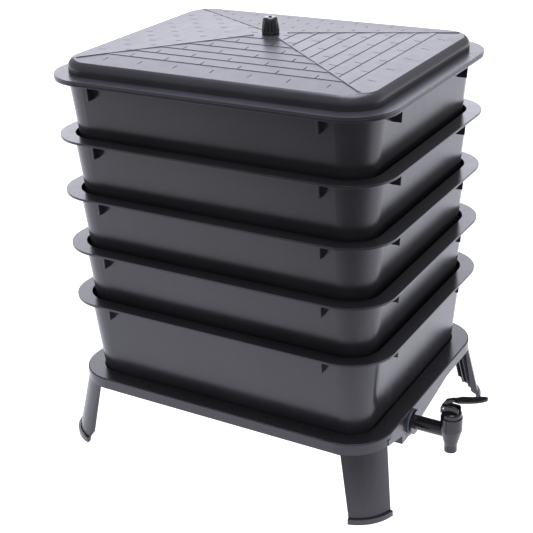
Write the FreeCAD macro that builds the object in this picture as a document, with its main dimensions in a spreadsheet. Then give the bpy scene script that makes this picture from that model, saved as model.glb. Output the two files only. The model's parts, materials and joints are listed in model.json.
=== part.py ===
import FreeCAD, Part
import math
import os
import re

import Sketcher

# A wormery: five nesting trays on a legged sump with a lever tap, under a hipped lid.
# Millimetres, +Z up, the long side along X. The origin is on the floor, under the middle
# of the stack. Every length and place below is a cell of the sheet, read by its alias.

os.makedirs("parts", exist_ok=True)
doc = FreeCAD.newDocument("wormery")
sheet = doc.addObject("Spreadsheet::Sheet", "Sheet")

SIZES = [
    # The outline that every storey shares, and how the storeys stack.
    ("outer_length", 545),
    ("outer_width", 436),
    ("corner_radius", 70),
    ("base_height", 121),
    ("first_rise", 132),
    ("tray_pitch", 88),
    ("seat_gap", 0.2),
    # Trays.
    ("tray_depth", 146),
    ("flange_thick", 3.5),
    ("wall_inset", 20),
    ("wall_thick", 2.5),
    ("wall_draft", 5.5),
    ("floor_thick", 3),
    ("hole_side", 11),
    ("hole_pitch_long", 46),
    ("hole_pitch_wide", 44),
    ("hole_columns", 9),
    ("hole_rows", 7),
    # Fins under each flange, and the ribs inside that carry the tray above.
    ("fin_along", 185),
    ("fin_across", 118),
    ("fin_thick", 2.5),
    ("fin_reach", 11.8),
    ("fin_foot_reach", 1.5),
    ("fin_drop", 26),
    ("rib_thick", 3),
    ("rib_inset", 44),
    # Lid.
    ("lid_gap", 0.4),
    ("lid_flange", 3.5),
    ("crown_inset", 21.6),
    ("crown_rise", 22),
    ("crown_round", 14),
    ("crown_inner_draft", 33),
    ("roof_inset", 47),
    ("roof_rise", 38.2),
    ("roof_top_length", 40),
    ("roof_top_width", 30),
    ("lid_wall", 2.6),
    ("roof_edge_drop", 1.3),
    ("course_pitch", 24),
    ("course_step", 0.6),
    ("slot_spacing", 60),
    ("slot_length", 12),
    ("slot_width", 1.4),
    ("slot_depth", 0.5),
    ("hip_width", 3),
    ("hip_proud", 0.9),
    ("hip_run_out", 5),
    ("lip_inset", 23.5),
    ("lip_thick", 2.5),
    ("lip_depth", 8),
    # Knob and its screw.
    ("knob_foot_radius", 13),
    ("knob_top_radius", 10.8),
    ("knob_height", 27),
    ("knob_foot_rise", 4),
    ("knob_tip_rise", 1.5),
    ("knob_dome_round", 4.5),
    ("knob_tip_radius", 2.5),
    ("flute_count", 14),
    ("flute_radius", 1.6),
    ("flute_sink", 1.6),
    ("thread_gap", 0.1),
    ("screw_radius", 2.5),
    ("screw_clearance", 0.3),
    ("screw_depth", 14),
    ("screw_head_radius", 4.6),
    ("screw_head_thick", 3),
    ("washer_radius", 7.5),
    ("washer_thick", 1.2),
    # Base.
    ("base_rim_inset", 3.5),
    ("rim_edge_round", 2),
    ("base_rim_thick", 3),
    ("skirt_depth", 18),
    ("skirt_thick", 2.5),
    ("sump_inset", 31),
    ("sump_depth", 34),
    ("tray_seat_drop", 14),
    # Legs.
    ("leg_half_angle", 33),
    ("leg_foot_half_angle", 29.6),
    ("leg_splay", 25),
    ("leg_plate", 3),
    ("leg_return", 11),
    ("leg_return_top", 4.5),
    ("leg_rib_angle", 11),
    ("leg_rib_depth", 15),
    ("leg_rib_thick", 2.5),
    ("leg_round", 6),
    ("foot_rise", 9),
    ("foot_proud", 2.2),
    ("foot_half_angle", 30.8),
    # Tap: its place on the base, then its pieces from the middle of the barrel.
    ("tap_across", -76),
    ("tap_drop", 23),
    ("barrel_along", 332),
    ("well_half_width", 30),
    ("well_depth", 43),
    ("apron_drop", 41),
    ("apron_low_across", -60),
    ("apron_front_across", -161),
    ("apron_back_across", 66),
    ("boss_radius", 23),
    ("shank_radius", 11),
    ("shank_hole_clearance", 0.4),
    ("shank_bore_radius", 6),
    ("shank_inner_reach", 21),
    ("tap_flange_radius", 19),
    ("tap_flange_thick", 4),
    ("seal_radius", 19.5),
    ("seal_thick", 3),
    ("nut_radius", 17),
    ("inner_seal_thick", 2.5),
    ("nut_thick", 8),
    ("barrel_radius", 16.5),
    ("barrel_top", 26),
    ("barrel_waist_top", 4),
    ("spout_radius", 9.75),
    ("spout_top", -22),
    ("spout_end", -33),
    ("spout_bore_radius", 7.5),
    ("chamber_radius", 10),
    ("valve_seat_level", -9),
    ("valve_seat_thick", 4),
    ("valve_hole_radius", 5),
    ("cup_shelf_level", 12),
    ("bonnet_bore_radius", 13.5),
    ("bonnet_clearance", 0.3),
    ("bonnet_cap_radius", 15),
    ("bonnet_cap_top", 35),
    ("bonnet_cap_round", 3),
    ("bonnet_wall", 3),
    ("bonnet_roof_thick", 5),
    ("cup_flange_thick", 1.5),
    ("cup_wall", 1.5),
    ("cup_floor", 3),
    ("cup_foot_radius", 7.5),
    ("stem_radius", 1.8),
    ("stem_fit", 0.06),
    ("stem_button_radius", 5),
    ("stem_button_thick", 2),
    ("stem_foot_gap", 0.1),
    ("stem_eye_thick", 3),
    ("stem_eye_radius", 3.2),
    # Lever and its two pins.
    ("pivot_along", -11),
    ("pivot_level", 40),
    ("ear_gap", 8.6),
    ("ear_thick", 2.6),
    ("ear_radius", 4.6),
    ("ear_front", 12),
    ("pivot_radius", 1.5),
    ("link_pin_radius", 1.25),
    ("pin_fit", 0.05),
    ("lever_root_width", 8),
    ("lever_slot_width", 4.2),
    ("lever_root_half", 3.8),
    ("lever_heel", 1.8),
    ("lever_fork_end", 5),
    ("lever_neck_level", 48),
    ("lever_arch_end", 3),
    ("lever_arch_level", 56),
    ("lever_blade_middle", 28),
    ("lever_blade_level", 62.5),
    ("lever_tip_along", 54),
    ("lever_tip_level", 71),
    ("lever_thick", 3.5),
    ("lever_blade_width", 16),
    ("lever_nose", 14),
    ("link_travel", 1.5),
    ("link_drop", 0.6),
]
for row, (alias, number) in enumerate(SIZES, start=1):
    sheet.set("A%d" % row, alias)
    sheet.set("B%d" % row, str(number))
    sheet.setAlias("B%d" % row, alias)
doc.recompute()

ALIASES = {alias for alias, _ in SIZES}
ALL_NODES = []


def bound(formula):
    """The formula with each alias written as a cell of the sheet."""
    return re.sub(r"[a-z_]+", lambda word: "Sheet." + word[0] if word[0] in ALIASES else word[0], formula)


def value(formula):
    """The number that a formula gives with the sheet as it is."""
    return float(sheet.evalExpression(bound(formula)))


# The outline's corner centres. Every concentric outline keeps them and changes only its radius.
CENTRE_LONG = "(outer_length / 2 - corner_radius)"
CENTRE_WIDE = "(outer_width / 2 - corner_radius)"
# A turned sketch needs its axis set with some angle before a formula is bound to the angle.
SOME_TURN = 30
LID_LEVEL = "base_height + first_rise + 4 * tray_pitch + lid_gap"


def new_body(name, level, along="0", across="0"):
    body = doc.addObject("PartDesign::Body", name)
    body.Label = name
    body.setExpression("Placement.Base.x", bound(along))
    body.setExpression("Placement.Base.y", bound(across))
    body.setExpression("Placement.Base.z", bound(level))
    ALL_NODES.append(body)
    return body


def sketch_on(body, plane, name, offset="0"):
    """A sketch on one of the body's own planes, moved along that plane's normal."""
    sketch = body.newObject("Sketcher::SketchObject", name)
    origin_plane = next(item for item in body.Origin.OriginFeatures if item.Role == plane)
    sketch.AttachmentSupport = [(origin_plane, "")]
    sketch.MapMode = "FlatFace"
    sketch.setExpression("AttachmentOffset.Base.z", bound(offset))
    return sketch


def dimension(sketch, kind, places, formula):
    index = sketch.addConstraint(Sketcher.Constraint(kind, *places, value(formula)))
    sketch.setExpression("Constraints[%d]" % index, bound(formula))


def polygon(sketch, corners):
    """A closed outline of straight lines through corners given as pairs of formulas."""
    first = sketch.GeometryCount
    spots = [FreeCAD.Vector(value(across), value(up), 0) for across, up in corners]
    for here, there in zip(spots, spots[1:] + spots[:1]):
        sketch.addGeometry(Part.LineSegment(here, there), False)
    count = len(corners)
    for index in range(count):
        following = first + (index + 1) % count
        sketch.addConstraint(Sketcher.Constraint("Coincident", first + index, 2, following, 1))
    for index, (across, up) in enumerate(corners):
        dimension(sketch, "DistanceX", (-1, 1, first + index, 1), across)
        dimension(sketch, "DistanceY", (-1, 1, first + index, 1), up)


def circle(sketch, across, up, radius):
    centre = FreeCAD.Vector(value(across), value(up), 0)
    index = sketch.addGeometry(Part.Circle(centre, FreeCAD.Vector(0, 0, 1), value(radius)), False)
    dimension(sketch, "DistanceX", (-1, 1, index, 3), across)
    dimension(sketch, "DistanceY", (-1, 1, index, 3), up)
    dimension(sketch, "Radius", (index,), radius)


def rounded_outline(sketch, inset):
    """The shared outline, moved inwards: four sides joined by four tangent corner arcs."""
    long_half, wide_half = value(CENTRE_LONG), value(CENTRE_WIDE)
    radius = value("corner_radius - (%s)" % inset)
    signs = [(1, 1), (-1, 1), (-1, -1), (1, -1)]
    for index, (along, across) in enumerate(signs):
        centre = FreeCAD.Vector(along * long_half, across * wide_half, 0)
        full = Part.Circle(centre, FreeCAD.Vector(0, 0, 1), radius)
        start = index * math.pi / 2
        sketch.addGeometry(Part.ArcOfCircle(full, start, start + math.pi / 2), False)
    for index in range(4):
        here = sketch.getPoint(index, 2)
        there = sketch.getPoint((index + 1) % 4, 1)
        sketch.addGeometry(Part.LineSegment(here, there), False)
    for index, (along, across) in enumerate(signs):
        sketch.addConstraint(Sketcher.Constraint("Tangent", index, 2, 4 + index, 1))
        sketch.addConstraint(Sketcher.Constraint("Tangent", 4 + index, 2, (index + 1) % 4, 1))
        dimension(sketch, "DistanceX", (-1, 1, index, 3), "%d * %s" % (along, CENTRE_LONG))
        dimension(sketch, "DistanceY", (-1, 1, index, 3), "%d * %s" % (across, CENTRE_WIDE))
    dimension(sketch, "Radius", (0,), "corner_radius - (%s)" % inset)
    sketch.addConstraint(Sketcher.Constraint("Horizontal", 4))
    sketch.addConstraint(Sketcher.Constraint("Horizontal", 6))
    sketch.addConstraint(Sketcher.Constraint("Vertical", 5))


def ring_sector(sketch, shift, outer, inner, half_angle):
    """A piece of a ring about the first corner's centre, moved outwards along the diagonal."""
    along, across = value(CENTRE_LONG + " + " + shift), value(CENTRE_WIDE + " + " + shift)
    centre = FreeCAD.Vector(along, across, 0)
    low, high = (math.radians(value("45 %s (%s)" % (sign, half_angle))) for sign in "-+")
    for radius in (value(outer), value(inner)):
        full = Part.Circle(centre, FreeCAD.Vector(0, 0, 1), radius)
        sketch.addGeometry(Part.ArcOfCircle(full, low, high), False)
    for end in (1, 2):
        sketch.addGeometry(Part.LineSegment(sketch.getPoint(1, end), sketch.getPoint(0, end)), False)
    for arc, point in ((0, 2), (1, 1)):
        for end in (1, 2):
            sketch.addConstraint(Sketcher.Constraint("Coincident", arc, end, 1 + end, point))
    for arc, radius in ((0, outer), (1, inner)):
        dimension(sketch, "DistanceX", (-1, 1, arc, 3), CENTRE_LONG + " + " + shift)
        dimension(sketch, "DistanceY", (-1, 1, arc, 3), CENTRE_WIDE + " + " + shift)
        dimension(sketch, "Radius", (arc,), radius)
    for end, sign in ((1, "-"), (2, "+")):
        slant = "45 %s (%s)" % (sign, half_angle)
        sketch.addConstraint(Sketcher.Constraint("PointOnObject", 0, 3, 1 + end))
        turn = Sketcher.Constraint("Angle", 1 + end, math.radians(value(slant)))
        index = sketch.addConstraint(turn)
        sketch.setExpression("Constraints[%d]" % index, bound("(%s) * 1 deg" % slant))


def extrude(body, kind, sketch, name, length, back=False, both=False, taper=None):
    feature = body.newObject("PartDesign::" + kind, name)
    feature.Profile = sketch
    feature.setExpression("Length", bound(length))
    feature.Reversed = back
    feature.Midplane = both
    if taper is not None:
        feature.setExpression("TaperAngle", bound(taper))
    sketch.Visibility = False
    return feature


def turn(body, kind, sketch, name):
    """A full turn about the upright axis."""
    feature = body.newObject("PartDesign::" + kind, name)
    feature.Profile = sketch
    feature.ReferenceAxis = (sketch, ["V_Axis"])
    feature.Angle = 360
    return feature


def mirrored(body, name, features, planes):
    """The features repeated across the body's own upright planes, one plane after the other."""
    pattern = body.newObject("PartDesign::MultiTransform", name)
    pattern.Originals = features
    steps = []
    for role in planes:
        step = doc.addObject("PartDesign::Mirrored", name + "_" + role)
        body.addObject(step)
        origin_plane = next(item for item in body.Origin.OriginFeatures if item.Role == role)
        step.MirrorPlane = (origin_plane, [""])
        steps.append(step)
    pattern.Transformations = steps
    body.Tip = pattern
    return pattern


def on_circle(radius, level):
    """A test that picks the edges of one circle about the upright axis."""
    def picked(middle, edge):
        return abs(middle.z - level) < 0.01 and abs(math.hypot(middle.x, middle.y) - radius) < 0.01
    return picked


def rounded_edges(body, name, radius, wanted):
    """A fillet on the edges of the body's last feature whose middle and direction are wanted."""
    doc.recompute()
    base = body.Tip
    picked = []
    for index, edge in enumerate(base.Shape.Edges, start=1):
        middle = edge.valueAt((edge.FirstParameter + edge.LastParameter) / 2)
        if wanted(middle, edge):
            picked.append("Edge%d" % index)
    fillet = body.newObject("PartDesign::Fillet", name)
    fillet.Base = (base, picked)
    fillet.setExpression("Radius", bound(radius))
    return fillet


DRAFT = "tan(wall_draft * 1 deg)"


def wall_inset_at(depth):
    """How far the outside of a tray's wall stands in from the outline, at a depth."""
    return "wall_inset + (%s) * %s" % (depth, DRAFT)


def seat_ribs(body, prefix, top, foot, wall):
    """Four upright ribs that the storey above stands on, one pair to each pair of sides."""
    ribs = []
    places = (("YZ_Plane", "fin_along", "outer_width"), ("XZ_Plane", "-fin_across", "outer_length"))
    for plane, offset, span in places:
        sketch = sketch_on(body, plane, prefix + "_" + plane, offset)
        inner = "-(%s / 2 - rib_inset)" % span
        corners = [
            ("-(%s / 2 - (%s))" % (span, wall(top)), "-(%s)" % top),
            (inner, "-(%s)" % top),
            (inner, "-(%s)" % foot),
            ("-(%s / 2 - (%s))" % (span, wall(foot)), "-(%s)" % foot),
        ]
        polygon(sketch, corners)
        rib = extrude(body, "Pad", sketch, prefix + "_rib_" + plane, "rib_thick", both=True)
        ribs.append(rib)
    return mirrored(body, prefix + "_ribs", ribs, ("XZ_Plane", "YZ_Plane"))


def make_tray(name, storeys_up):
    """A drafted tub with a flange, a pierced floor, fins under the flange and ribs inside."""
    body = new_body(name, "base_height + first_rise + %d * tray_pitch" % storeys_up)

    outline = sketch_on(body, "XY_Plane", name + "_flange_outline")
    rounded_outline(outline, "0")
    extrude(body, "Pad", outline, name + "_flange", "flange_thick", back=True)

    outside = sketch_on(body, "XY_Plane", name + "_wall_outline")
    rounded_outline(outside, "wall_inset")
    extrude(body, "Pad", outside, name + "_wall", "tray_depth", back=True, taper="-wall_draft")

    fins = []
    places = (("YZ_Plane", "fin_along", "outer_width"), ("XZ_Plane", "-fin_across", "outer_length"))
    for plane, offset, span in places:
        profile = sketch_on(body, plane, name + "_fin_" + plane, offset)
        rooted = "-(%s / 2 - wall_inset - wall_thick)" % span
        corners = [
            (rooted, "-flange_thick / 2"),
            ("-(%s / 2 - wall_inset + fin_reach)" % span, "-flange_thick / 2"),
            ("-(%s / 2 - wall_inset + fin_reach)" % span, "-flange_thick"),
            ("-(%s / 2 - wall_inset + fin_foot_reach)" % span, "-fin_drop"),
            (rooted, "-fin_drop"),
        ]
        polygon(profile, corners)
        fins.append(extrude(body, "Pad", profile, name + "_fin_pad_" + plane, "fin_thick", both=True))
    mirrored(body, name + "_fins", fins, ("XZ_Plane", "YZ_Plane"))

    inside = sketch_on(body, "XY_Plane", name + "_inside_outline")
    rounded_outline(inside, "wall_inset + wall_thick")
    extrude(body, "Pocket", inside, name + "_inside", "tray_depth - floor_thick", taper="-wall_draft")

    def inner_wall(depth):
        return wall_inset_at(depth) + " + wall_thick / 2"

    seat_ribs(body, name, "tray_depth - tray_pitch + seat_gap", "tray_depth - floor_thick / 2", inner_wall)

    hole = sketch_on(body, "XY_Plane", name + "_hole", "-tray_depth")
    left = "-hole_pitch_long * (hole_columns - 1) / 2"
    front = "-hole_pitch_wide * (hole_rows - 1) / 2"
    half = "hole_side / 2"
    polygon(hole, [
        ("%s - %s" % (left, half), "%s - %s" % (front, half)),
        ("%s + %s" % (left, half), "%s - %s" % (front, half)),
        ("%s + %s" % (left, half), "%s + %s" % (front, half)),
        ("%s - %s" % (left, half), "%s + %s" % (front, half)),
    ])
    first_hole = extrude(body, "Pocket", hole, name + "_first_hole", "floor_thick * 2", back=True)
    grid = body.newObject("PartDesign::MultiTransform", name + "_holes")
    grid.Originals = [first_hole]
    steps = []
    for axis, pitch, count in (("X_Axis", "hole_pitch_long", "hole_columns"),
                               ("Y_Axis", "hole_pitch_wide", "hole_rows")):
        step = doc.addObject("PartDesign::LinearPattern", name + "_" + axis)
        body.addObject(step)
        step.Direction = (next(item for item in body.Origin.OriginFeatures if item.Role == axis), [""])
        step.setExpression("Length", bound("%s * (%s - 1)" % (pitch, count)))
        step.setExpression("Occurrences", bound(count))
        steps.append(step)
    grid.Transformations = steps
    body.Tip = grid
    return body


RIM_RADIUS = "(corner_radius - base_rim_inset)"


def leg_lean(level):
    """How far a leg has moved out along each side of the plan at a level below the skirt."""
    return "(-(%s) - skirt_depth) * leg_splay / sqrt(2) / (base_height - skirt_depth)" % level


def ruled_loft(body, kind, name, sections):
    loft = body.newObject("PartDesign::" + kind, name)
    loft.Profile = sections[0]
    loft.Sections = sections[1:]
    loft.Ruled = True
    return loft


def leg_loft(body, kind, name, outer, steps):
    """A ring sector run straight down inside the skirt, then leaning out towards the floor."""
    sections = []
    for index, (level, inner, half_angle) in enumerate(steps):
        section = sketch_on(body, "XY_Plane", "%s_%d" % (name, index), level)
        ring_sector(section, "0" if index < 2 else leg_lean(level), outer, inner, half_angle)
        sections.append(section)
    return ruled_loft(body, kind, name, sections)


def leg_rib(body, name, sign):
    """A flat rib behind the plate, with its lower corner taken off."""
    edge = RIM_RADIUS + " - leg_rib_depth"
    root = RIM_RADIUS + " - leg_plate / 2"
    heading = "((45 %s leg_rib_angle) * 1 deg)" % sign
    sections = []
    for index, (level, inner) in enumerate((
            ("-base_rim_thick", edge),
            ("-skirt_depth", edge),
            ("-base_height + foot_rise + leg_round", edge),
            ("-base_height + foot_rise", edge + " + leg_round"))):
        section = sketch_on(body, "XY_Plane", "%s_%d" % (name, index), level)
        lean = "0" if index < 2 else leg_lean(level)
        corners = []
        for reach, half in ((inner, "-"), (root, "-"), (root, "+"), (inner, "+")):
            side = "(%s leg_rib_thick / 2)" % half
            east = "(%s) * cos(%s) - %s * sin(%s)" % (reach, heading, side, heading)
            north = "(%s) * sin(%s) + %s * cos(%s)" % (reach, heading, side, heading)
            corners.append(("%s + %s + %s" % (CENTRE_LONG, lean, east),
                            "%s + %s + %s" % (CENTRE_WIDE, lean, north)))
        polygon(section, corners)
        sections.append(section)
    return ruled_loft(body, "AdditiveLoft", name, sections)


def leg_pieces(body):
    """One leg: a curved plate with turned-in edges, two ribs behind it and a low foot before it."""
    plate = [
        ("-base_rim_thick", "leg_return_top", "leg_half_angle"),
        ("-skirt_depth", "leg_return_top", "leg_half_angle"),
        ("-base_height + foot_rise + leg_round", "leg_return", "leg_foot_half_angle"),
        ("-base_height + foot_rise", "1.5 * leg_plate", "leg_foot_half_angle"),
        ("-base_height", "1.5 * leg_plate", "leg_foot_half_angle"),
    ]
    steps = [(level, RIM_RADIUS + " - " + deep, angle) for level, deep, angle in plate]
    pieces = [leg_loft(body, "AdditiveLoft", "leg", RIM_RADIUS, steps)]
    foot = sketch_on(body, "XY_Plane", "foot_section", "-base_height")
    ring_sector(foot, leg_lean("-base_height"), RIM_RADIUS + " + foot_proud",
                RIM_RADIUS + " - leg_plate / 2", "foot_half_angle")
    pieces.append(extrude(body, "Pad", foot, "foot_lip", "foot_rise"))
    wall_angle = " - leg_plate / %s * 180 / pi" % RIM_RADIUS
    far = RIM_RADIUS + " - 2 * leg_return"
    hollow = [(level, far, angle + wall_angle) for level, deep, angle in plate]
    inside = leg_loft(body, "SubtractiveLoft", "leg_hollow", RIM_RADIUS + " - leg_plate", hollow)
    pieces.append(inside)
    pieces += [leg_rib(body, "leg_rib_near", "-"), leg_rib(body, "leg_rib_far", "+")]
    return pieces


def make_base():
    """The sump: a rim with a skirt, a basin, a well behind the tap, and four splayed legs."""
    body = new_body("base", "base_height")

    outline = sketch_on(body, "XY_Plane", "rim_outline")
    rounded_outline(outline, "base_rim_inset")
    extrude(body, "Pad", outline, "rim_and_skirt", "skirt_depth", back=True)
    rounded_edges(body, "rim_round", "rim_edge_round", lambda middle, edge: abs(middle.z) < 0.01)
    under = sketch_on(body, "XY_Plane", "skirt_inside", "-skirt_depth")
    rounded_outline(under, "base_rim_inset + skirt_thick")
    extrude(body, "Pocket", under, "skirt_hollow", "skirt_depth - base_rim_thick", back=True)

    mirrored(body, "legs", leg_pieces(body), ("XZ_Plane", "YZ_Plane"))

    basin = sketch_on(body, "XY_Plane", "basin_outline")
    rounded_outline(basin, "sump_inset - wall_thick")
    extrude(body, "Pad", basin, "basin", "sump_depth + floor_thick", back=True)

    side = "(outer_length / 2 - base_rim_inset)"
    well = sketch_on(body, "XY_Plane", "well_outline")
    polygon(well, [
        (side + " - skirt_thick / 2", "tap_across - well_half_width - wall_thick"),
        (side + " - skirt_thick / 2", "tap_across + well_half_width + wall_thick"),
        ("outer_length / 2 - rib_inset - well_half_width", "tap_across + well_half_width + wall_thick"),
        ("outer_length / 2 - rib_inset - well_half_width", "tap_across - well_half_width - wall_thick"),
    ])
    extrude(body, "Pad", well, "well", "well_depth + floor_thick", back=True)

    apron = sketch_on(body, "YZ_Plane", "apron_outline", side)
    polygon(apron, [
        ("apron_back_across", "-skirt_depth / 2"),
        ("apron_back_across", "-skirt_depth"),
        ("apron_low_across", "-apron_drop"),
        ("apron_front_across", "-skirt_depth"),
        ("apron_front_across", "-skirt_depth / 2"),
    ])
    extrude(body, "Pad", apron, "apron", "skirt_thick", back=True)
    boss = sketch_on(body, "YZ_Plane", "boss_outline", side)
    circle(boss, "tap_across", "-tap_drop", "boss_radius")
    extrude(body, "Pad", boss, "boss", "skirt_thick", back=True)

    basin_inside = sketch_on(body, "XY_Plane", "basin_inside")
    rounded_outline(basin_inside, "sump_inset")
    extrude(body, "Pocket", basin_inside, "basin_hollow", "sump_depth")
    well_inside = sketch_on(body, "XY_Plane", "well_inside", "-base_rim_thick")
    polygon(well_inside, [
        (side + " - skirt_thick", "tap_across - well_half_width"),
        (side + " - skirt_thick", "tap_across + well_half_width"),
        ("outer_length / 2 - rib_inset - well_half_width + wall_thick", "tap_across + well_half_width"),
        ("outer_length / 2 - rib_inset - well_half_width + wall_thick", "tap_across - well_half_width"),
    ])
    extrude(body, "Pocket", well_inside, "well_hollow", "well_depth - base_rim_thick")
    tap_hole = sketch_on(body, "YZ_Plane", "tap_hole_outline", side + " + skirt_thick")
    circle(tap_hole, "tap_across", "-tap_drop", "shank_radius + shank_hole_clearance")
    extrude(body, "Pocket", tap_hole, "tap_hole", "skirt_thick * 3")

    seat_ribs(body, "sump", "tray_seat_drop + seat_gap", "sump_depth + floor_thick / 2",
              lambda depth: "sump_inset - wall_thick / 2")
    return body


WIDE_RUN = "(outer_width / 2 - roof_inset)"
LONG_RUN = "(outer_length / 2 - roof_inset)"


def roof_level(run, top_half, courses_up):
    """The height of a slope at the foot of a course, counted from the eaves."""
    steepness = "((roof_rise - crown_rise) / (%s - %s))" % (run, top_half)
    return "lid_flange + crown_rise + (%s) * course_pitch * %s" % (courses_up, steepness)


def whole_courses(run, top_half):
    return int(value("(%s - %s) / course_pitch" % (run, top_half)))


def above_the_courses(sketch, run, top_half):
    """All that lies above two opposite slopes, each laid in courses that overlap like shingles."""
    over = "lid_flange + 2 * roof_rise"
    slope = [("%s + roof_inset" % run, roof_level(run, top_half, "-roof_inset / course_pitch"))]
    for course in range(1, whole_courses(run, top_half) + 1):
        foot = "%s - %d * course_pitch" % (run, course)
        level = roof_level(run, top_half, course)
        slope += [(foot, level), (foot, level + " + course_step")]
    slope.append((top_half, "lid_flange + roof_rise"))
    far_slope = [("-(%s)" % across, level) for across, level in reversed(slope)]
    polygon(sketch, [("%s + roof_inset" % run, over)] + slope + far_slope
            + [("-(%s + roof_inset)" % run, over)])


def hip_ribs(body):
    """A narrow raised rib along each hip, running out to a point on the crown's corner."""
    rib = sketch_on(body, "XZ_Plane", "hip_rib_outline")
    turn_axis = FreeCAD.Vector(0, 1, 0)
    rib.AttachmentOffset = FreeCAD.Placement(FreeCAD.Vector(), FreeCAD.Rotation(turn_axis, SOME_TURN))
    rib.setExpression("AttachmentOffset.Base.x", bound("roof_top_length / 2"))
    rib.setExpression("AttachmentOffset.Base.z", bound("-roof_top_width / 2"))
    turned = "atan((%s - roof_top_width / 2) / (%s - roof_top_length / 2))" % (WIDE_RUN, LONG_RUN)
    rib.setExpression("AttachmentOffset.Rotation.Angle", bound(turned))
    along = "sqrt((%s - roof_top_width / 2) ^ 2 + (%s - roof_top_length / 2) ^ 2)" % (WIDE_RUN, LONG_RUN)
    polygon(rib, [
        ("0", "lid_flange + roof_rise - hip_proud"),
        (along + " + hip_run_out", "lid_flange + crown_rise - 2 * hip_proud"),
        (along + " + hip_run_out", "lid_flange + crown_rise - hip_proud / 2"),
        (along, "lid_flange + crown_rise + hip_proud"),
        ("0", "lid_flange + roof_rise + hip_proud"),
    ])
    blank = extrude(body, "Pad", rib, "hip_rib", "hip_width", both=True)
    mirrored(body, "hip_ribs", [blank], ("XZ_Plane", "YZ_Plane"))


def roof_hollow(body):
    """The slopes again on the underside, without courses."""
    sections = []
    for end, level, long_half, wide_half in (
            ("foot", "lid_flange + crown_rise - lid_wall - roof_edge_drop", LONG_RUN, WIDE_RUN),
            ("top", "lid_flange + roof_rise - lid_wall", "(roof_top_length / 2)", "(roof_top_width / 2)")):
        section = sketch_on(body, "XY_Plane", "roof_hollow_" + end, level)
        polygon(section, [("-" + long_half, "-" + wide_half), (long_half, "-" + wide_half),
                          (long_half, wide_half), ("-" + long_half, wide_half)])
        sections.append(section)
    loft = body.newObject("PartDesign::SubtractiveLoft", "roof_hollow")
    loft.Profile = sections[0]
    loft.Sections = sections[1:]
    loft.Ruled = True


def slots(body, name, run, top_half, eaves):
    """Short slots rising from the foot of each course, set over by half a space from row to row."""
    is_wide = name == "wide"
    columns = int(value("%s / slot_spacing" % eaves))
    pairs_of_rows = whole_courses(run, top_half) // 2 + 1
    sketch = sketch_on(body, "XY_Plane", name + "_slots")
    tilt_axis = FreeCAD.Vector(1, 0, 0) if is_wide else FreeCAD.Vector(0, -1, 0)
    sketch.AttachmentOffset = FreeCAD.Placement(FreeCAD.Vector(), FreeCAD.Rotation(tilt_axis, SOME_TURN))
    steepness = "atan((roof_rise - crown_rise) / (%s - %s))" % (run, top_half)
    sketch.setExpression("AttachmentOffset.Rotation.Angle", bound(steepness))
    sketch.setExpression("AttachmentOffset.Base." + ("y" if is_wide else "x"), bound("-" + run))
    sketch.setExpression("AttachmentOffset.Base.z", bound("lid_flange + crown_rise + course_step"))
    first = "-%d / 2 * slot_spacing" % (columns - 1)
    for row, shift in enumerate(("0", "slot_spacing / 2")):
        near = "%d * course_pitch" % row
        side = "%s + %s" % (first, shift)
        corners = [
            (side + " - slot_width / 2", near),
            (side + " + slot_width / 2", near),
            (side + " + slot_width / 2", near + " + slot_length"),
            (side + " - slot_width / 2", near + " + slot_length"),
        ]
        if not is_wide:
            corners = [(up, across) for across, up in corners]
        polygon(sketch, corners)
    cut = extrude(body, "Pocket", sketch, name + "_slot_pair", "course_step + slot_depth")
    along, up = ("H_Axis", "V_Axis") if is_wide else ("V_Axis", "H_Axis")
    pattern = body.newObject("PartDesign::MultiTransform", name + "_slot_rows")
    pattern.Originals = [cut]
    steps = []
    for tag, axis, count, spacing in (("along", along, columns, "slot_spacing"),
                                      ("up", up, pairs_of_rows, "2 * course_pitch")):
        step = doc.addObject("PartDesign::LinearPattern", "%s_slots_%s" % (name, tag))
        body.addObject(step)
        step.Direction = (sketch, [axis])
        step.Mode = "Spacing"
        step.Occurrences = count
        step.setExpression("Offset", bound(spacing))
        steps.append(step)
    role = "XZ_Plane" if is_wide else "YZ_Plane"
    flip = doc.addObject("PartDesign::Mirrored", name + "_slots_mirrored")
    body.addObject(flip)
    flip.MirrorPlane = (next(item for item in body.Origin.OriginFeatures if item.Role == role), [""])
    pattern.Transformations = steps + [flip]
    body.Tip = pattern


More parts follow.
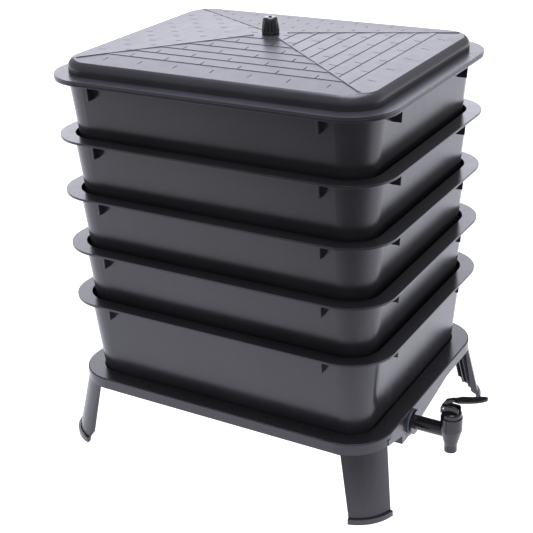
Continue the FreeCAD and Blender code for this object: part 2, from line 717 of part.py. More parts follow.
def make_lid():
    """A flange with a raised, rounded crown, a low roof laid in courses, and a lip into the top tray."""
    body = new_body("lid", LID_LEVEL)
    outline = sketch_on(body, "XY_Plane", "lid_outline")
    rounded_outline(outline, "0")
    extrude(body, "Pad", outline, "lid_flange_plate", "lid_flange")

    crown = sketch_on(body, "XY_Plane", "crown_outline")
    rounded_outline(crown, "crown_inset")
    extrude(body, "Pad", crown, "crown", "lid_flange + crown_rise")
    crown_top = value("lid_flange + crown_rise")
    rounded_edges(body, "crown_shoulder", "crown_round",
                  lambda middle, edge: abs(middle.z - crown_top) < 0.01)
    roof_block = sketch_on(body, "XY_Plane", "roof_block_outline", "lid_flange + crown_rise")
    rounded_outline(roof_block, "crown_inset + crown_round")
    extrude(body, "Pad", roof_block, "roof_block", "roof_rise - crown_rise")
    for plane, name, run, top_half in (
            ("YZ_Plane", "wide_slopes", WIDE_RUN, "(roof_top_width / 2)"),
            ("XZ_Plane", "long_slopes", LONG_RUN, "(roof_top_length / 2)")):
        profile = sketch_on(body, plane, name + "_profile")
        above_the_courses(profile, run, top_half)
        extrude(body, "Pocket", profile, name, "2 * outer_length", both=True)
    hip_ribs(body)

    lip = sketch_on(body, "XY_Plane", "lip_outline")
    rounded_outline(lip, "lip_inset")
    extrude(body, "Pad", lip, "lip", "lip_depth", back=True, taper="-wall_draft")
    lip_inside = sketch_on(body, "XY_Plane", "lip_inside_outline", "-lip_depth")
    rounded_outline(lip_inside, "lip_inset + lip_thick")
    extrude(body, "Pocket", lip_inside, "lip_inside", "lip_depth + lid_flange", back=True)
    crown_inside = sketch_on(body, "XY_Plane", "crown_inside_outline", "lid_flange")
    rounded_outline(crown_inside, "crown_inset + lid_wall")
    extrude(body, "Pocket", crown_inside, "crown_hollow", "crown_rise - crown_round", back=True)
    shoulder_foot = "lid_flange + crown_rise - crown_round"
    shoulder_inside = sketch_on(body, "XY_Plane", "shoulder_inside_outline", shoulder_foot)
    rounded_outline(shoulder_inside, "crown_inset + lid_wall")
    extrude(body, "Pocket", shoulder_inside, "shoulder_hollow", "crown_round - lid_wall - roof_edge_drop",
            back=True, taper="-crown_inner_draft")
    roof_hollow(body)

    screw_hole = sketch_on(body, "XY_Plane", "screw_hole_outline", "lid_flange + roof_rise")
    circle(screw_hole, "0", "0", "screw_radius + screw_clearance")
    extrude(body, "Pocket", screw_hole, "screw_hole", "lid_wall * 2")
    slots(body, "wide", WIDE_RUN, "(roof_top_width / 2)", "outer_length")
    slots(body, "long", LONG_RUN, "(roof_top_length / 2)", "outer_width")
    return body


def make_knob():
    """A domed, fluted knob that stands on the flat at the top of the roof."""
    body = new_body("lid_knob", LID_LEVEL + " + lid_flange + roof_rise")
    profile = sketch_on(body, "XZ_Plane", "knob_profile")
    hole = "(screw_radius + thread_gap)"
    polygon(profile, [
        (hole, "0"),
        ("knob_foot_radius", "0"),
        ("knob_foot_radius", "knob_foot_rise"),
        ("knob_top_radius", "knob_height - knob_tip_rise"),
        ("knob_tip_radius", "knob_height - knob_tip_rise"),
        ("knob_tip_radius", "knob_height"),
        ("0", "knob_height"),
        ("0", "screw_depth"),
        (hole, "screw_depth"),
    ])
    turn(body, "Revolution", profile, "knob_turned")
    dome_foot = value("knob_height - knob_tip_rise")
    rim = value("knob_top_radius")
    rounded_edges(body, "knob_dome", "knob_dome_round", on_circle(rim, dome_foot))
    flute = sketch_on(body, "XY_Plane", "flute_outline", "knob_foot_rise")
    circle(flute, "knob_foot_radius - flute_sink + flute_radius", "0", "flute_radius")
    groove = extrude(body, "Pocket", flute, "flute", "knob_height", back=True)
    around = body.newObject("PartDesign::PolarPattern", "flutes")
    around.Originals = [groove]
    around.Axis = (next(item for item in body.Origin.OriginFeatures if item.Role == "Z_Axis"), [""])
    around.Angle = 360
    around.setExpression("Occurrences", bound("flute_count"))
    body.Tip = around
    return body


def make_turned(name, level, along, across, profile, kind="Revolution"):
    """A piece turned about its own upright axis."""
    body = new_body(name, level, along, across)
    outline = sketch_on(body, "XZ_Plane", name + "_profile")
    polygon(outline, profile)
    turn(body, kind, outline, name + "_turned")
    return body


def make_knob_screw():
    """The screw that holds the knob from under the lid."""
    head_foot = "-(lid_wall + washer_thick + screw_head_thick)"
    head_top = "-(lid_wall + washer_thick)"
    return make_turned("knob_screw", LID_LEVEL + " + lid_flange + roof_rise", "0", "0", [
        ("0", head_foot),
        ("screw_head_radius - screw_head_thick / 3", head_foot),
        ("screw_head_radius", head_foot + " + screw_head_thick / 3"),
        ("screw_head_radius", head_top),
        ("screw_radius", head_top),
        ("screw_radius", "screw_depth - thread_gap"),
        ("0", "screw_depth - thread_gap"),
    ])


def make_knob_washer():
    hole = "screw_radius + thread_gap"
    return make_turned("knob_washer", LID_LEVEL + " + lid_flange + roof_rise", "0", "0", [
        (hole, "-(lid_wall + washer_thick)"),
        ("washer_radius", "-(lid_wall + washer_thick)"),
        ("washer_radius", "-lid_wall"),
        (hole, "-lid_wall"),
    ])


# The tap's pieces share one local frame: the upright axis of the barrel crossing the shank's axis.
TAP = ("base_height - tap_drop", "barrel_along", "tap_across")
OUTER_WALL = "-(barrel_along - outer_length / 2 + base_rim_inset)"
INNER_WALL = "-(barrel_along - outer_length / 2 + base_rim_inset + skirt_thick)"


def shank_ring(name, start, thick, outer, inner, corners=0):
    """A ring, or a nut with the given number of corners, on the shank from start outwards."""
    body = new_body(name, *TAP)
    outline = sketch_on(body, "YZ_Plane", name + "_outline", start)
    if corners:
        turns = [360 * index / corners for index in range(corners)]
        polygon(outline, [("%s * cos(%g deg)" % (outer, angle), "%s * sin(%g deg)" % (outer, angle))
                          for angle in turns])
    else:
        circle(outline, "0", "0", outer)
    circle(outline, "0", "0", inner)
    extrude(body, "Pad", outline, name + "_pad", thick)
    return body


def make_tap_body():
    """A hollow shank with a flange, leading into an upright barrel with a valve seat and a spout."""
    body = new_body("tap_body", *TAP)
    shank = sketch_on(body, "YZ_Plane", "shank_outline")
    circle(shank, "0", "0", "shank_radius")
    extrude(body, "Pad", shank, "shank", "-(%s) + shank_inner_reach" % INNER_WALL, back=True)
    flange = sketch_on(body, "YZ_Plane", "tap_flange_outline", OUTER_WALL + " + seal_thick")
    circle(flange, "0", "0", "tap_flange_radius")
    extrude(body, "Pad", flange, "tap_flange", "tap_flange_thick")

    barrel = sketch_on(body, "XZ_Plane", "barrel_profile")
    polygon(barrel, [
        ("0", "spout_end"),
        ("spout_radius", "spout_end"),
        ("spout_radius", "spout_top"),
        ("barrel_radius", "barrel_waist_top"),
        ("barrel_radius", "barrel_top"),
        ("0", "barrel_top"),
    ])
    turn(body, "Revolution", barrel, "barrel")

    bore = sketch_on(body, "XZ_Plane", "barrel_bore_profile")
    polygon(bore, [
        ("0", "barrel_top + barrel_radius"),
        ("bonnet_bore_radius", "barrel_top + barrel_radius"),
        ("bonnet_bore_radius", "cup_shelf_level"),
        ("chamber_radius", "cup_shelf_level"),
        ("chamber_radius", "valve_seat_level"),
        ("valve_hole_radius", "valve_seat_level"),
        ("valve_hole_radius", "valve_seat_level - valve_seat_thick"),
        ("spout_bore_radius", "valve_seat_level - valve_seat_thick"),
        ("spout_bore_radius", "spout_end - spout_radius"),
        ("0", "spout_end - spout_radius"),
    ])
    turn(body, "Groove", bore, "barrel_bore")
    inlet = sketch_on(body, "YZ_Plane", "inlet_outline")
    circle(inlet, "0", "0", "shank_bore_radius")
    extrude(body, "Pocket", inlet, "inlet", "barrel_along")
    return body


def make_seat_cup():
    """The soft cup that closes the valve: a flange under the bonnet, a bell and a thick foot."""
    foot = "(valve_seat_level + seat_gap)"
    bell = "(chamber_radius - cup_wall / 2)"
    floor = "(%s + cup_floor)" % foot
    return make_turned("tap_seat_cup", *TAP, [
        ("0", foot),
        ("cup_foot_radius", foot),
        (bell, "cup_shelf_level"),
        ("bonnet_bore_radius - bonnet_clearance", "cup_shelf_level"),
        ("bonnet_bore_radius - bonnet_clearance", "cup_shelf_level + cup_flange_thick"),
        (bell + " - cup_wall", "cup_shelf_level + cup_flange_thick"),
        ("cup_foot_radius - cup_wall", floor),
        ("0", floor),
    ])


def make_bonnet():
    """The cap that closes the barrel, with two ears for the lever's pivot and a guide for the stem."""
    body = new_body("tap_bonnet", *TAP)
    profile = sketch_on(body, "XZ_Plane", "bonnet_profile")
    guide = "(stem_radius + stem_fit)"
    spigot = "(bonnet_bore_radius - bonnet_clearance)"
    foot = "(cup_shelf_level + cup_flange_thick)"
    roof = "(bonnet_cap_top - bonnet_roof_thick)"
    polygon(profile, [
        (guide, roof),
        (spigot + " - bonnet_wall", roof),
        (spigot + " - bonnet_wall", foot),
        (spigot, foot),
        (spigot, "barrel_top"),
        ("bonnet_cap_radius", "barrel_top"),
        ("bonnet_cap_radius", "bonnet_cap_top"),
        (guide, "bonnet_cap_top"),
    ])
    turn(body, "Revolution", profile, "bonnet_turned")
    cap_top = value("bonnet_cap_top")
    cap_rim = value("bonnet_cap_radius")
    rounded_edges(body, "bonnet_round", "bonnet_cap_round", on_circle(cap_rim, cap_top))
    ears = sketch_on(body, "XZ_Plane", "ears_outline")
    ear_top = "(pivot_level + ear_radius)"
    polygon(ears, [
        ("pivot_along - ear_radius", "bonnet_cap_top - bonnet_cap_round"),
        ("ear_front", "bonnet_cap_top - bonnet_cap_round"),
        ("ear_front", ear_top),
        ("pivot_along - ear_radius", ear_top),
    ])
    extrude(body, "Pad", ears, "ears", "ear_gap + 2 * ear_thick", both=True)
    top = value(ear_top)
    rounded_edges(body, "ears_round", "ear_radius * 0.9",
                  lambda middle, edge: abs(middle.z - top) < 0.01 and abs(middle.y) < 0.01)
    gap = sketch_on(body, "XZ_Plane", "ear_gap_outline")
    polygon(gap, [
        ("pivot_along - 2 * ear_radius", "bonnet_cap_top"),
        ("ear_front + ear_radius", "bonnet_cap_top"),
        ("ear_front + ear_radius", ear_top + " + ear_radius"),
        ("pivot_along - 2 * ear_radius", ear_top + " + ear_radius"),
    ])
    extrude(body, "Pocket", gap, "ear_gap_cut", "ear_gap", both=True)
    pivot = sketch_on(body, "XZ_Plane", "ear_pivot_outline")
    circle(pivot, "pivot_along", "pivot_level", "pivot_radius + pin_fit")
    extrude(body, "Pocket", pivot, "ear_pivot_hole", "4 * ear_gap", both=True)
    stem_way = sketch_on(body, "XY_Plane", "stem_way_outline", "bonnet_cap_top + ear_gap")
    circle(stem_way, "0", "0", "stem_radius + stem_fit")
    extrude(body, "Pocket", stem_way, "stem_way", "ear_gap * 2")
    return body


def make_stem():
    """The rod that lifts the cup's foot, with a flattened eye for the link pin."""
    body = new_body("tap_stem", *TAP)
    profile = sketch_on(body, "XZ_Plane", "stem_profile")
    button = "(valve_seat_level + seat_gap + cup_floor + stem_foot_gap)"
    polygon(profile, [
        ("0", button),
        ("stem_button_radius", button),
        ("stem_button_radius", button + " + stem_button_thick"),
        ("stem_radius", button + " + stem_button_thick"),
        ("stem_radius", "pivot_level - stem_eye_radius / 2"),
        ("0", "pivot_level - stem_eye_radius / 2"),
    ])
    turn(body, "Revolution", profile, "stem_turned")
    eye = sketch_on(body, "XZ_Plane", "stem_eye_outline")
    circle(eye, "0", "pivot_level", "stem_eye_radius")
    extrude(body, "Pad", eye, "stem_eye", "stem_eye_thick", both=True)
    hole = sketch_on(body, "XZ_Plane", "stem_eye_hole")
    circle(hole, "0", "pivot_level", "link_pin_radius + pin_fit")
    extrude(body, "Pocket", hole, "stem_eye_bore", "stem_eye_thick * 3", both=True)
    return body


def make_pin(name, along, radius, length):
    body = new_body(name, *TAP)
    outline = sketch_on(body, "XZ_Plane", name + "_outline")
    circle(outline, along, "pivot_level", radius)
    extrude(body, "Pad", outline, name + "_pad", length, both=True)
    return body


def make_lever():
    """A thumb lever: a forked root between the ears, a neck that arches over, a broad blade."""
    body = new_body("tap_lever", *TAP)
    side = sketch_on(body, "XZ_Plane", "lever_side")
    polygon(side, [
        ("pivot_along - lever_root_half", "pivot_level - lever_heel"),
        ("pivot_along - lever_heel", "pivot_level - lever_root_half"),
        ("lever_fork_end", "pivot_level - lever_root_half"),
        ("lever_fork_end", "pivot_level + lever_root_half"),
        ("pivot_along + lever_root_half", "pivot_level + lever_root_half"),
        ("pivot_along + lever_root_half + 1", "lever_neck_level"),
        ("lever_arch_end", "lever_arch_level - lever_thick"),
        ("lever_blade_middle", "lever_blade_level - lever_thick"),
        ("lever_tip_along", "lever_tip_level - lever_thick"),
        ("lever_tip_along - 1", "lever_tip_level"),
        ("lever_blade_middle", "lever_blade_level"),
        ("lever_arch_end - lever_thick", "lever_arch_level"),
        ("pivot_along + 1", "lever_neck_level + lever_thick"),
        ("pivot_along - lever_root_half", "lever_neck_level - lever_thick"),
    ])
    extrude(body, "Pad", side, "lever_blank", "lever_blade_width", both=True)
    plan = sketch_on(body, "XY_Plane", "lever_plan", "lever_tip_level + lever_thick")
    root, blade, far = "(lever_root_width / 2)", "(lever_blade_width / 2)", "lever_blade_width"
    back, front = "(pivot_along - 2 * lever_root_half)", "(lever_tip_along + lever_root_half)"
    for sign in ("", "-"):
        polygon(plan, [
            (back, sign + root),
            ("lever_fork_end", sign + root),
            ("lever_fork_end + lever_root_width", sign + blade),
            ("lever_tip_along - lever_nose", sign + blade),
            ("lever_tip_along - lever_nose / 3", sign + blade + " * 0.72"),
            ("lever_tip_along", sign + blade + " * 0.3"),
            (front, sign + root),
            (front, sign + far),
            (back, sign + far),
        ])
    extrude(body, "Pocket", plan, "lever_trim", "lever_tip_level + 2 * lever_thick")
    fork = sketch_on(body, "XZ_Plane", "lever_fork_outline")
    polygon(fork, [
        ("-lever_root_half - 1", "pivot_level - 2 * lever_root_half"),
        ("2 * lever_root_half + lever_fork_end", "pivot_level - 2 * lever_root_half"),
        ("2 * lever_root_half + lever_fork_end", "pivot_level + lever_root_half + 1"),
        ("-lever_root_half - 1", "pivot_level + lever_root_half + 1"),
    ])
    extrude(body, "Pocket", fork, "lever_fork", "lever_slot_width", both=True)
    pivot = sketch_on(body, "XZ_Plane", "lever_pivot_outline")
    circle(pivot, "pivot_along", "pivot_level", "pivot_radius + pin_fit")
    extrude(body, "Pocket", pivot, "lever_pivot_hole", "4 * ear_gap", both=True)
    link = sketch_on(body, "XZ_Plane", "lever_link_outline")
    reach = "(link_pin_radius + 2 * pin_fit)"
    polygon(link, [
        ("-" + reach, "pivot_level - %s - link_drop" % reach),
        (reach + " + link_travel", "pivot_level - %s - link_drop" % reach),
        (reach + " + link_travel", "pivot_level + " + reach),
        ("-" + reach, "pivot_level + " + reach),
    ])
    extrude(body, "Pocket", link, "lever_link_slot", "4 * ear_gap", both=True)
    return body


make_base()
for storeys_up in range(5):
    make_tray("tray_%d" % (5 - storeys_up), storeys_up)
make_lid()
make_knob()
make_knob_washer()
make_knob_screw()
make_tap_body()
shank_ring("tap_outer_seal", OUTER_WALL, "seal_thick", "seal_radius", "shank_radius + shank_hole_clearance")
shank_ring("tap_inner_seal", INNER_WALL + " - inner_seal_thick", "inner_seal_thick", "nut_radius",
           "shank_radius + shank_hole_clearance")
shank_ring("tap_lock_nut", INNER_WALL + " - inner_seal_thick - nut_thick", "nut_thick", "nut_radius",
           "shank_radius + thread_gap", corners=6)
make_seat_cup()
make_bonnet()
make_stem()
make_pin("stem_pin", "0", "link_pin_radius", "lever_root_width")
make_lever()
make_pin("lever_pivot_pin", "pivot_along", "pivot_radius", "ear_gap + 2 * ear_thick")

doc.recompute()
for item in doc.Objects:
    if "Invalid" in item.State or "Error" in item.State:
        raise RuntimeError("%s did not build: %s" % (item.Name, item.State))
for node in ALL_NODES:
    if node.Shape.isNull() or not node.Shape.isValid():
        raise RuntimeError("%s has no valid shape" % node.Label)
for node in ALL_NODES:
    node.Shape.exportStep("parts/%s.step" % node.Label)
    print(node.Label, len(node.Shape.Solids), round(node.Shape.Volume))
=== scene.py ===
import json
import math

import bmesh
import bpy
from mathutils import Matrix, Vector


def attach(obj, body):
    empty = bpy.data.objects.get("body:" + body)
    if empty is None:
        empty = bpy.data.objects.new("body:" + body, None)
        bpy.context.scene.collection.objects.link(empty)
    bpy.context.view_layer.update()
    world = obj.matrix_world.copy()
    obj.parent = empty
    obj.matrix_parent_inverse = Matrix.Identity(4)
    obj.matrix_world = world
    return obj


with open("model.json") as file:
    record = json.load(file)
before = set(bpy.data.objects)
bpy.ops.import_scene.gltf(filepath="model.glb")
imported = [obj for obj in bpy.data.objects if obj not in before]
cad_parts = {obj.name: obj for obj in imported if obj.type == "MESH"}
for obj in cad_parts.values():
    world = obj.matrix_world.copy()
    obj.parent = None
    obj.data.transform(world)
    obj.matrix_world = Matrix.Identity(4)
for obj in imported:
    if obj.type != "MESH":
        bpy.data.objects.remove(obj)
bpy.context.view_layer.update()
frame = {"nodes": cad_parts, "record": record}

# The photograph's camera: its angles, its distance and its lens, in degrees and metres.
CAMERA_AZIMUTH = 30.62
CAMERA_ELEVATION = 24.66
CAMERA_ROLL = -2.06
CAMERA_DISTANCE = 1.8744
CAMERA_TARGET = Vector((-0.0215, 0.0, 0.2654))
CAMERA_LENS_MM = 78.2
CAMERA_SIGHT = 50


def make_camera():
    azimuth, elevation = math.radians(CAMERA_AZIMUTH), math.radians(CAMERA_ELEVATION)
    roll = math.radians(CAMERA_ROLL)
    back = Vector((math.sin(azimuth) * math.cos(elevation),
                   -math.cos(azimuth) * math.cos(elevation),
                   math.sin(elevation)))
    level_right = Vector((0, 0, 1)).cross(back).normalized()
    level_up = back.cross(level_right)
    right = math.cos(roll) * level_right + math.sin(roll) * level_up
    up = math.cos(roll) * level_up - math.sin(roll) * level_right
    camera = bpy.data.objects.new("camera", bpy.data.cameras.new("camera"))
    bpy.context.scene.collection.objects.link(camera)
    turn = Matrix((right, up, back)).transposed().to_4x4()
    camera.matrix_world = Matrix.Translation(CAMERA_TARGET + back * CAMERA_DISTANCE) @ turn
    camera.data.lens = CAMERA_LENS_MM
    camera.data.clip_end = CAMERA_SIGHT
    bpy.context.scene.camera = camera


# The floor's size in metres and its paper's tone.
FLOOR_REACH = 12.0
FLOOR_PAPER = (0.15, 0.15, 0.15)
FLOOR_ROUGHNESS = 0.9

# The floor's own light: its tint, the direction in which it grows, its strength at both ends, and
# the two places along that direction, in metres, between which it changes.
FLOOR_TINT = (0.96, 0.96, 1.08)
FLOOR_FALL = (-0.5, 1.0, 0.0)
FLOOR_DIM = 0.05
FLOOR_BRIGHT = 1.45
FLOOR_DIM_AT = -1.15
FLOOR_BRIGHT_AT = -0.35

# The room's light at the horizon and from ROOM_TOP upward, and what the camera sees of it.
ROOM_LOW = 0.6
ROOM_HIGH = 0.4
ROOM_TOP = 0.9
ROOM_SEEN = 1.0

# Each softbox: where it stands and what it points at, its width and height in metres, its radiance.
SOFTBOX_TINT = (0.93, 0.93, 1.08)
SOFTBOXES = {
    "back_softbox": ((-2.6, 3.9, 2.8), (0.0, 0.0, 0.6), 3.8, 3.2, 2.65),
    "top_softbox": ((0.0, 0.2, 3.0), (0.0, 0.0, 0.5), 2.0, 2.0, 8.0),
    "front_softbox": ((0.9, -3.0, 3.4), (0.0, 0.0, 0.3), 2.2, 1.6, 1.0),
}

# Moulded edges are never quite sharp: this radius, in metres, catches the light along them.
EDGE_RADIUS = 0.0009
EDGE_SAMPLES = 6

# The plastic's cloudy tone: its scale and detail, and how far it strays from the tone given.
CLOUD_SCALE = 7.0
CLOUD_DETAIL = 4.0
CLOUD_STRAY = 0.18
CLOUD_EDGES = (0.3, 0.7)

# The flow streaks in its gloss, long down the walls, and how far they change the roughness.
STREAK_STRETCH = (60.0, 60.0, 4.0)
STREAK_DETAIL = 3.0
STREAK_STRAY = 0.05

# Its fine grain, in metres, and its refraction.
GRAIN_SIZE = 0.0006
GRAIN_DEPTH = 0.00002
GRAIN_STRENGTH = 0.2
GRAIN_DETAIL = 2.0
PLASTIC_IOR = 1.5

# Brushed steel: the scratches' scale, their two tones and the roughness between them.
SCRATCH_SCALE = 900.0
STEEL_DARK = (0.42, 0.42, 0.43)
STEEL_LIGHT = (0.66, 0.66, 0.65)
STEEL_ROUGHNESS = (0.22, 0.42)


def add_node(tree, kind, **settings):
    node = tree.nodes.new(kind)
    for name, setting in settings.items():
        setattr(node, name, setting)
    return node


def moulded_plastic(name, tone, roughness):
    """Dark moulded plastic: cloudy tone and gloss, flow streaks down the walls, and a fine grain."""
    material = bpy.data.materials.new(name)
    material.use_nodes = True
    tree = material.node_tree
    tree.nodes.clear()
    output = add_node(tree, "ShaderNodeOutputMaterial")
    shader = add_node(tree, "ShaderNodeBsdfPrincipled")
    tree.links.new(shader.outputs["BSDF"], output.inputs["Surface"])
    place = add_node(tree, "ShaderNodeTexCoord")

    cloud = add_node(tree, "ShaderNodeTexNoise")
    cloud.inputs["Scale"].default_value = CLOUD_SCALE
    cloud.inputs["Detail"].default_value = CLOUD_DETAIL
    tree.links.new(place.outputs["Object"], cloud.inputs["Vector"])
    colour = add_node(tree, "ShaderNodeValToRGB")
    for stop, place_on_ramp, share in zip(colour.color_ramp.elements, CLOUD_EDGES, (-1, 1)):
        stop.position = place_on_ramp
        stop.color = (*((1 + share * CLOUD_STRAY) * part for part in tone), 1)
    tree.links.new(cloud.outputs["Fac"], colour.inputs["Fac"])
    tree.links.new(colour.outputs["Color"], shader.inputs["Base Color"])

    stretch = add_node(tree, "ShaderNodeMapping")
    stretch.inputs["Scale"].default_value = STREAK_STRETCH
    tree.links.new(place.outputs["Object"], stretch.inputs["Vector"])
    streak = add_node(tree, "ShaderNodeTexNoise")
    streak.inputs["Scale"].default_value = 1.0
    streak.inputs["Detail"].default_value = STREAK_DETAIL
    tree.links.new(stretch.outputs["Vector"], streak.inputs["Vector"])
    gloss = add_node(tree, "ShaderNodeMapRange")
    gloss.inputs["To Min"].default_value = roughness - STREAK_STRAY
    gloss.inputs["To Max"].default_value = roughness + STREAK_STRAY
    tree.links.new(streak.outputs["Fac"], gloss.inputs["Value"])
    tree.links.new(gloss.outputs["Result"], shader.inputs["Roughness"])

    grain = add_node(tree, "ShaderNodeTexNoise")
    grain.inputs["Scale"].default_value = 1 / GRAIN_SIZE
    grain.inputs["Detail"].default_value = GRAIN_DETAIL
    tree.links.new(place.outputs["Object"], grain.inputs["Vector"])
    bump = add_node(tree, "ShaderNodeBump")
    bump.inputs["Strength"].default_value = GRAIN_STRENGTH
    bump.inputs["Distance"].default_value = GRAIN_DEPTH
    softened = add_node(tree, "ShaderNodeBevel", samples=EDGE_SAMPLES)
    softened.inputs["Radius"].default_value = EDGE_RADIUS
    tree.links.new(softened.outputs["Normal"], bump.inputs["Normal"])
    tree.links.new(grain.outputs["Fac"], bump.inputs["Height"])
    tree.links.new(bump.outputs["Normal"], shader.inputs["Normal"])
    shader.inputs["IOR"].default_value = PLASTIC_IOR
    return material


def brushed_steel(name):
    """Plated steel with fine scratches in its tone and gloss."""
    material = bpy.data.materials.new(name)
    material.use_nodes = True
    tree = material.node_tree
    shader = tree.nodes["Principled BSDF"]
    shader.inputs["Metallic"].default_value = 1.0
    place = add_node(tree, "ShaderNodeTexCoord")
    scratch = add_node(tree, "ShaderNodeTexNoise")
    scratch.inputs["Scale"].default_value = SCRATCH_SCALE
    tree.links.new(place.outputs["Object"], scratch.inputs["Vector"])
    tone = add_node(tree, "ShaderNodeValToRGB")
    tone.color_ramp.elements[0].color = (*STEEL_DARK, 1)
    tone.color_ramp.elements[1].color = (*STEEL_LIGHT, 1)
    tree.links.new(scratch.outputs["Fac"], tone.inputs["Fac"])
    tree.links.new(tone.outputs["Color"], shader.inputs["Base Color"])
    gloss = add_node(tree, "ShaderNodeMapRange")
    gloss.inputs["To Min"].default_value = STEEL_ROUGHNESS[0]
    gloss.inputs["To Max"].default_value = STEEL_ROUGHNESS[1]
    tree.links.new(scratch.outputs["Fac"], gloss.inputs["Value"])
    tree.links.new(gloss.outputs["Result"], shader.inputs["Roughness"])
    return material


# Each plastic or rubber finish by its slot in the record: its tone and its roughness.
MOULDED_FINISHES = {
    "tray_plastic": ((0.020, 0.020, 0.024), 0.24),
    "base_plastic": ((0.020, 0.020, 0.024), 0.27),
    "lid_plastic": ((0.028, 0.028, 0.035), 0.34),
    "tap_plastic": ((0.008, 0.008, 0.009), 0.16),
    "seal_rubber": ((0.075, 0.095, 0.135), 0.5),
    "cup_rubber": ((0.02, 0.02, 0.02), 0.6),
}

# The knob is of the lid's plastic, but darker and more polished.
KNOB_TONE = (0.014, 0.014, 0.016)
KNOB_ROUGHNESS = 0.18


def give_finish(node_name, finish):
    node = frame["nodes"][node_name]
    node.data.materials.clear()
    node.data.materials.append(finish)


def finish_nodes():
    """Gives each CAD node the finish of its slot, and returns the finishes by slot."""
    finishes = {slot: moulded_plastic(slot, tone, roughness)
                for slot, (tone, roughness) in MOULDED_FINISHES.items()}
    finishes["plated_steel"] = brushed_steel("plated_steel")
    for entry in frame["record"]["subparts"]:
        give_finish(entry["node"], finishes[entry["material_slot"]])
    give_finish("lid_knob", moulded_plastic("knob_plastic", KNOB_TONE, KNOB_ROUGHNESS))
    return finishes


# The plates under each tray's flange, in metres: how far they stand out at the flange and at the
# foot, how far down they reach, and where they stand along the walls.
PLATE_REACH = 0.0118
PLATE_FOOT_REACH = 0.0104
PLATE_DROP = 0.026
PLATE_THICK = 0.0027
PLATE_EDGE = 0.0005
PLATE_EDGE_STEPS = 2
PLATE_ALONG = 0.185
PLATE_ACROSS = 0.118
FLANGE_THICK = 0.0035

# The trays' walls under the flange: half their length and width, how deep the plates are rooted in
# them, and how much they draw in on the way down.
WALL_LONG = 0.2525
WALL_WIDE = 0.198
PLATE_ROOT = 0.0012
WALL_LEAN = math.tan(math.radians(5.5))


def plate_corners(wall):
    """A plate's outline as pairs of reach and level, counted from the middle and from the rim."""
    root = wall - PLATE_ROOT
    foot_root = root - PLATE_DROP * WALL_LEAN
    return [(root, -FLANGE_THICK), (wall + PLATE_REACH, -FLANGE_THICK),
            (wall + PLATE_FOOT_REACH, -PLATE_DROP), (foot_root, -PLATE_DROP)]


def make_plates(finish):
    """The upright plates of each tray, squared off at the foot like the moulding's own."""
    for node_name, node in frame["nodes"].items():
        if not node_name.startswith("tray_"):
            continue
        rim = max((node.matrix_world @ vertex.co).z for vertex in node.data.vertices)
        points, faces = [], []
        for side in (-1, 1):
            for end in (-1, 1):
                for wall, is_long in ((WALL_WIDE, True), (WALL_LONG, False)):
                    first = len(points)
                    for half in (-PLATE_THICK / 2, PLATE_THICK / 2):
                        for reach, level in plate_corners(wall):
                            if is_long:
                                points.append((end * PLATE_ALONG + half, side * reach, rim + level))
                            else:
                                points.append((side * reach, end * PLATE_ACROSS + half, rim + level))
                    near, far = range(first, first + 4), range(first + 4, first + 8)
                    faces += [tuple(near), tuple(reversed(far))]
                    faces += [(near[i], far[i], far[(i + 1) % 4], near[(i + 1) % 4]) for i in range(4)]
        mesh = bpy.data.meshes.new(node_name + "_plates")
        mesh.from_pydata(points, [], faces)
        shape = bmesh.new()
        shape.from_mesh(mesh)
        bmesh.ops.recalc_face_normals(shape, faces=shape.faces)
        shape.to_mesh(mesh)
        shape.free()
        plates = bpy.data.objects.new(node_name + "_plates", mesh)
        bpy.context.scene.collection.objects.link(plates)
        edge = plates.modifiers.new("edge", "BEVEL")
        edge.width = PLATE_EDGE
        edge.segments = PLATE_EDGE_STEPS
        mesh.materials.append(finish)
        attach(plates, node_name)


def paper_white(tree, strength, plain):
    """Plain white where it is looked at directly, and the given strength where it only lights."""
    path = add_node(tree, "ShaderNodeLightPath")
    choice = add_node(tree, "ShaderNodeMix")
    choice.inputs["B"].default_value = plain
    tree.links.new(path.outputs["Is Camera Ray"], choice.inputs["Factor"])
    tree.links.new(strength, choice.inputs["A"])
    return choice.outputs["Result"]


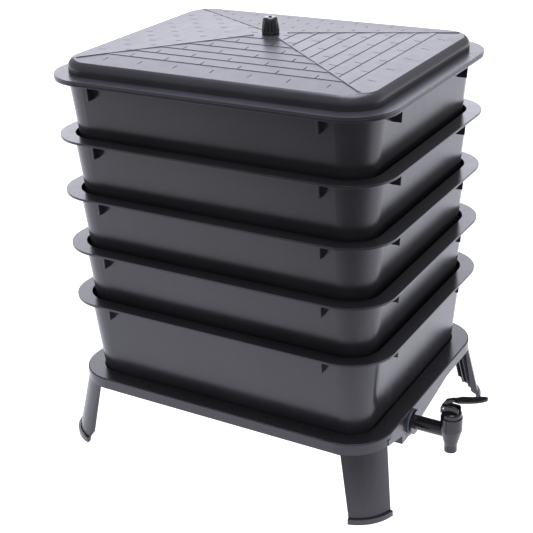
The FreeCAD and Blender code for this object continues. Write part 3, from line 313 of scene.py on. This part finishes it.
def make_stage():
    """A white floor that lights the object from around and behind, and little from the front."""
    mesh = bpy.data.meshes.new("floor")
    corners = [(-FLOOR_REACH, -FLOOR_REACH, 0), (FLOOR_REACH, -FLOOR_REACH, 0),
               (FLOOR_REACH, FLOOR_REACH, 0), (-FLOOR_REACH, FLOOR_REACH, 0)]
    mesh.from_pydata(corners, [], [(0, 1, 2, 3)])
    floor = bpy.data.objects.new("floor", mesh)
    bpy.context.scene.collection.objects.link(floor)
    material = bpy.data.materials.new("floor_paper")
    material.use_nodes = True
    tree = material.node_tree
    shader = tree.nodes["Principled BSDF"]
    shader.inputs["Base Color"].default_value = (*FLOOR_PAPER, 1)
    shader.inputs["Roughness"].default_value = FLOOR_ROUGHNESS
    shader.inputs["Emission Color"].default_value = (*FLOOR_TINT, 1)
    place = add_node(tree, "ShaderNodeTexCoord")
    depth = add_node(tree, "ShaderNodeVectorMath", operation="DOT_PRODUCT")
    depth.inputs[1].default_value = FLOOR_FALL
    tree.links.new(place.outputs["Object"], depth.inputs[0])
    glow = add_node(tree, "ShaderNodeMapRange", interpolation_type="SMOOTHSTEP")
    glow.inputs["From Min"].default_value = FLOOR_DIM_AT
    glow.inputs["From Max"].default_value = FLOOR_BRIGHT_AT
    glow.inputs["To Min"].default_value = FLOOR_DIM
    glow.inputs["To Max"].default_value = FLOOR_BRIGHT
    tree.links.new(depth.outputs["Value"], glow.inputs["Value"])
    seen = paper_white(tree, glow.outputs["Result"], FLOOR_BRIGHT)
    tree.links.new(seen, shader.inputs["Emission Strength"])
    mesh.materials.append(material)


def add_softbox(name, place, target, width, height, radiance):
    light = bpy.data.lights.new(name, "AREA")
    light.shape = "RECTANGLE"
    light.size, light.size_y = width, height
    light.energy = math.pi * width * height * radiance
    light.color = SOFTBOX_TINT
    softbox = bpy.data.objects.new(name, light)
    bpy.context.scene.collection.objects.link(softbox)
    softbox.location = place
    softbox.rotation_mode = "QUATERNION"
    softbox.rotation_quaternion = (Vector(target) - Vector(place)).to_track_quat("-Z", "Y")


def make_lights():
    """A tall softbox behind the object on its left, one overhead, and a dim one over the front."""
    for name, (place, target, width, height, radiance) in SOFTBOXES.items():
        add_softbox(name, place, target, width, height, radiance)


def make_surround():
    """A soft, rather dim room above the floor."""
    world = bpy.data.worlds.new("surround")
    bpy.context.scene.world = world
    world.use_nodes = True
    tree = world.node_tree
    background = tree.nodes["Background"]
    place = add_node(tree, "ShaderNodeTexCoord")
    split = add_node(tree, "ShaderNodeSeparateXYZ")
    tree.links.new(place.outputs["Generated"], split.inputs["Vector"])
    height = add_node(tree, "ShaderNodeMapRange", interpolation_type="SMOOTHSTEP")
    height.inputs["From Min"].default_value = 0.0
    height.inputs["From Max"].default_value = ROOM_TOP
    height.inputs["To Min"].default_value = ROOM_LOW
    height.inputs["To Max"].default_value = ROOM_HIGH
    tree.links.new(split.outputs["Z"], height.inputs["Value"])
    background.inputs["Color"].default_value = (1.0, 1.0, 1.0, 1)
    seen = paper_white(tree, height.outputs["Result"], ROOM_SEEN)
    tree.links.new(seen, background.inputs["Strength"])


make_camera()
FINISHES = finish_nodes()
make_plates(FINISHES["tray_plastic"])
make_stage()
make_lights()
make_surround()
bpy.context.scene.view_settings.view_transform = "Standard"
